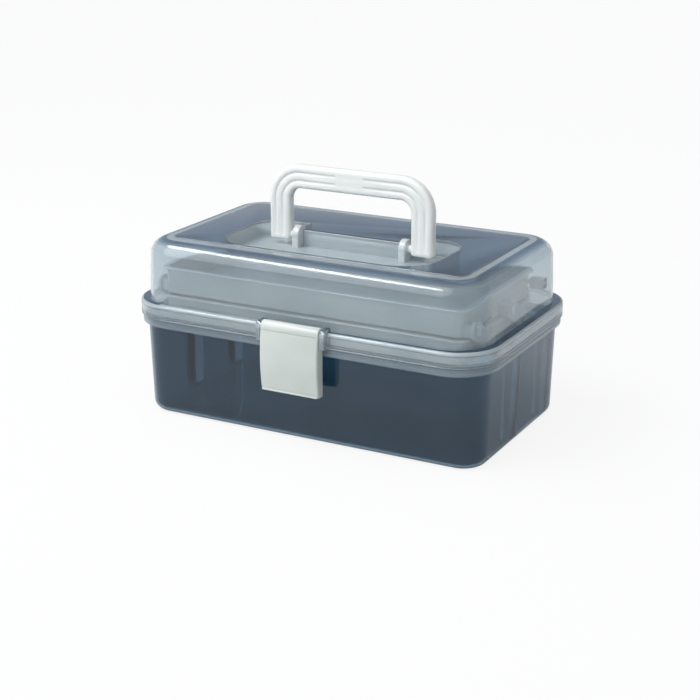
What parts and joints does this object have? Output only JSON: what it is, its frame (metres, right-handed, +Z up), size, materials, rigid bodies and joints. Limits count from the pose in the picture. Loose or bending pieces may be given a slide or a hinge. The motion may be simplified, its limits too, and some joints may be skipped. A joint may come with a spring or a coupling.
{
  "type": "folding tool box",
  "caption": "Clear plastic tool box with a hinged lid, carry handle, front latch and trays that fold out on swinging arms as the lid opens",
  "frame": {"origin": "centre of the closed box's outline on the surface it stands on, at the flat underside of the base", "axes": "X runs along the length of the box to its right end seen from the front, -Y points to the front with the latch, Z points up; closed, with the handle upright"},
  "size_m": [0.33, 0.217, 0.211],
  "materials": {
    "base_plastic": "slate-tinted clear polypropylene, glossy",
    "lid_plastic": "frosted clear polypropylene, satin gloss",
    "tray_plastic": "milky clear polypropylene, satin gloss",
    "arm_plastic": "milky clear plastic, satin gloss",
    "rivet_plastic": "white moulded plastic",
    "white_plastic": "opaque white plastic, glossy",
    "pin_steel": "plain drawn steel wire"
  },
  "bodies": {
    "base": {"base_tub": "base_plastic", "base_rivets_left": "rivet_plastic", "base_rivets_right": "rivet_plastic", "hinge_pin_left": "pin_steel", "hinge_pin_right": "pin_steel"},
    "lid": {"lid_shell": "lid_plastic", "latch_pin": "pin_steel", "lid_link_stud_left": "rivet_plastic", "lid_link_stud_right": "rivet_plastic"},
    "carry_handle": {"carry_handle": "white_plastic"},
    "front_latch": {"front_latch": "white_plastic"},
    "front_arm_left": {"front_arm_left": "arm_plastic"},
    "front_arm_right": {"front_arm_right": "arm_plastic"},
    "rear_arm_left": {"rear_arm_left": "arm_plastic"},
    "rear_arm_right": {"rear_arm_right": "arm_plastic"},
    "lower_tray": {"lower_tray": "tray_plastic", "lower_tray_rivets_left": "rivet_plastic", "lower_tray_rivets_right": "rivet_plastic"},
    "upper_tray": {"upper_tray": "tray_plastic", "upper_tray_rivets_left": "rivet_plastic", "upper_tray_rivets_right": "rivet_plastic"}
  },
  "joints": [
    {"name": "lid_hinge", "type": "hinge", "parent": "base", "child": "lid", "pos_m": [0, 0.1045, 0.088], "axis": [-1, 0, 0], "range_deg": [0, 92]},
    {"name": "front_arm_left_pivot", "type": "hinge", "parent": "base", "child": "front_arm_left", "pos_m": [-0.14463, -0.01412, 0.079], "axis": [-1, 0, 0], "range_deg": [0, 92]},
    {"name": "rear_arm_left_pivot", "type": "hinge", "parent": "base", "child": "rear_arm_left", "pos_m": [-0.14463, 0.05188, 0.079], "axis": [-1, 0, 0], "range_deg": [0, 92]},
    {"name": "front_arm_right_pivot", "type": "hinge", "parent": "base", "child": "front_arm_right", "pos_m": [0.14463, -0.01412, 0.079], "axis": [-1, 0, 0], "range_deg": [0, 92]},
    {"name": "rear_arm_right_pivot", "type": "hinge", "parent": "base", "child": "rear_arm_right", "pos_m": [0.14463, 0.05188, 0.079], "axis": [-1, 0, 0], "range_deg": [0, 92]},
    {"name": "lower_tray_pivot", "type": "hinge", "parent": "front_arm_right", "child": "lower_tray", "pos_m": [0.14463, -0.04112, 0.0955], "axis": [1, 0, 0], "range_deg": [0, 92]},
    {"name": "upper_tray_pivot", "type": "hinge", "parent": "front_arm_right", "child": "upper_tray", "pos_m": [0.14463, -0.06812, 0.112], "axis": [1, 0, 0], "range_deg": [0, 92]},
    {"name": "latch_hinge", "type": "hinge", "parent": "lid", "child": "front_latch", "pos_m": [0, -0.101, 0.1], "axis": [-1, 0, 0], "range_deg": [0, 110]},
    {"name": "handle_pivot", "type": "hinge", "parent": "lid", "child": "carry_handle", "pos_m": [0, 0, 0.15], "axis": [1, 0, 0], "range_deg": [-60, 90]}
  ],
  "couplings": [
    {"joint": "front_arm_left_pivot", "follows": "lid_hinge", "ratio": 1},
    {"joint": "rear_arm_left_pivot", "follows": "lid_hinge", "ratio": 1},
    {"joint": "front_arm_right_pivot", "follows": "lid_hinge", "ratio": 1},
    {"joint": "rear_arm_right_pivot", "follows": "lid_hinge", "ratio": 1},
    {"joint": "lower_tray_pivot", "follows": "lid_hinge", "ratio": 1},
    {"joint": "upper_tray_pivot", "follows": "lid_hinge", "ratio": 1}
  ]
}
